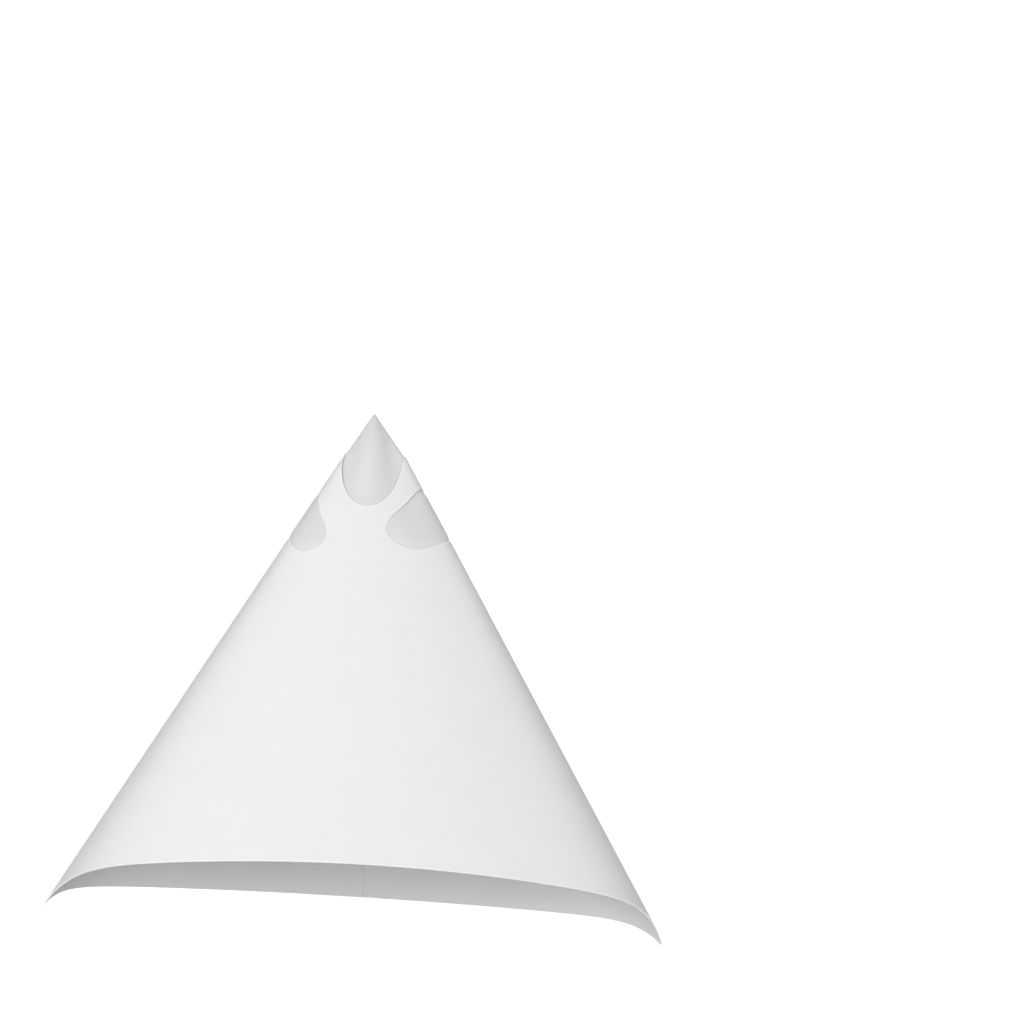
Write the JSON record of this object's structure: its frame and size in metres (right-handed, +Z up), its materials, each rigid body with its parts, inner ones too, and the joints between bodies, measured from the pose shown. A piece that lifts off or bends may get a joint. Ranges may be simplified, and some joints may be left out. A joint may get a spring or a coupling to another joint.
{
  "type": "paint strainer",
  "caption": "Disposable paint strainer: a folded paper cone with die-cut windows at its tip and a fine mesh cone glued inside.",
  "frame": {"origin": "bottom centre of the bounding box, on the surface the strainer stands on", "axes": "+Z up; +X along the line between the two lower corners of the cone; -Y towards the front panel, with the tip leaning back towards +Y"},
  "size_m": [0.1874, 0.0854, 0.1456],
  "materials": {
    "paper": "smooth matt coated paper",
    "mesh": "fine woven nylon filter mesh"
  },
  "bodies": {
    "root": {"paper_cone": "paper", "mesh_filter": "mesh"}
  },
  "joints": []
}
